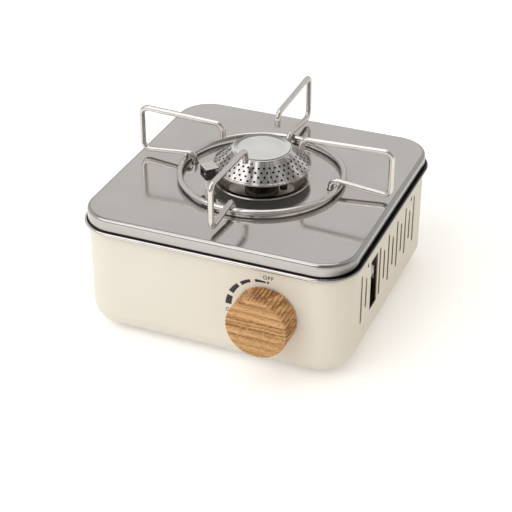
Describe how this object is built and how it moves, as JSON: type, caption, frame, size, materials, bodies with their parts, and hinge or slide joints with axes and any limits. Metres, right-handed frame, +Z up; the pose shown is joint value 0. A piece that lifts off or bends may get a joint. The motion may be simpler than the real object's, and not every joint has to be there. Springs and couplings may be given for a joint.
{
  "type": "butane cassette stove",
  "caption": "Compact square tabletop gas stove: cream steel tub, polished top plate, perforated cone burner, lift-off wire pan support and ribbed wooden gas knob.",
  "frame": {"origin": "on the table under the burner axis, at the centre of the square tub", "axes": "+Z up, +X to the right of someone facing the knob, front (knob side) at -Y"},
  "size_m": [0.205, 0.2201, 0.1354],
  "materials": {
    "enamel": "satin cream enamel",
    "plate_steel": "polished, faintly brushed stainless sheet",
    "bright_trim": "bright plated",
    "wire_steel": "polished stainless wire",
    "burner_steel": "bright drawn sheet",
    "cap_steel": "satin pale coating",
    "bowl_steel": "dark enamel",
    "hood_steel": "satin sheet",
    "ceramic": "glazed white",
    "wood": "oiled straight-grained wood",
    "zinc": "as cast",
    "brass": "machined",
    "copper_pipe": "drawn tube",
    "sheet": "zinc-plated sheet",
    "fastener": "plated",
    "black_rubber": "matt",
    "nylon": "moulded",
    "piezo_plastic": "moulded",
    "red_plastic": "moulded",
    "silicone": "sleeving"
  },
  "bodies": {
    "stove": {"body_shell": "enamel", "top_plate": "plate_steel", "rim_bead": "bright_trim", "rubber_feet": "black_rubber", "plate_clips": "fastener", "drip_bowl": "bowl_steel", "mixing_tube": "zinc", "burner_screws": "fastener", "burner_base": "burner_steel", "burner_skirt": "burner_steel", "burner_cap": "cap_steel", "regulator_body": "zinc", "regulator_cover": "zinc", "regulator_screws": "fastener", "can_inlet": "brass", "inlet_seal": "black_rubber", "gas_pipe": "copper_pipe", "gas_jet": "brass", "can_holder_plate": "sheet", "holder_screws": "fastener", "cradle_rail": "sheet", "rail_fixings": "fastener", "heat_shield": "sheet", "shield_fixings": "fastener", "lever_pin": "fastener", "spindle_bush": "nylon", "piezo_body": "piezo_plastic", "piezo_bracket": "sheet", "bracket_screw": "fastener", "ignition_wire": "silicone", "wire_clip": "nylon", "spark_insulator": "ceramic", "spark_rod": "fastener", "spark_hood": "hood_steel"},
    "pan_support": {"support_ring": "wire_steel", "pot_support_right": "wire_steel", "pot_support_back": "wire_steel", "pot_support_left": "wire_steel", "pot_support_front": "wire_steel", "support_welds": "wire_steel"},
    "knob": {"knob": "wood", "knob_insert": "nylon", "spindle": "brass", "trip_cam": "nylon"},
    "plunger": {"piezo_plunger": "red_plastic"},
    "lever": {"lock_lever": "wire_steel", "drive_pin": "fastener"},
    "cradle": {"can_cradle": "sheet"}
  },
  "joints": [
    {"name": "pan_support_lift", "type": "slide", "parent": "stove", "child": "pan_support", "axis": [0, 0, 1], "range_m": [0, 0.04]},
    {"name": "knob_turn", "type": "hinge", "parent": "stove", "child": "knob", "pos_m": [0.0437, -0.108, 0.0471], "axis": [0, -1, 0], "range_deg": [0, 110]},
    {"name": "plunger_push", "type": "slide", "parent": "stove", "child": "plunger", "axis": [0, 0, 1], "range_m": [0, 0.005]},
    {"name": "cradle_slide", "type": "slide", "parent": "stove", "child": "cradle", "axis": [0, -1, 0], "range_m": [0, 0.007]},
    {"name": "lever_turn", "type": "hinge", "parent": "stove", "child": "lever", "pos_m": [0.0946, -0.07, 0.054], "axis": [-1, 0, 0], "range_deg": [0, 34]}
  ],
  "couplings": [
    {"joint": "plunger_push", "follows": "knob_turn", "m_per_rad": 0.002604},
    {"joint": "lever_turn", "follows": "cradle_slide", "rad_per_m": 84.5}
  ]
}
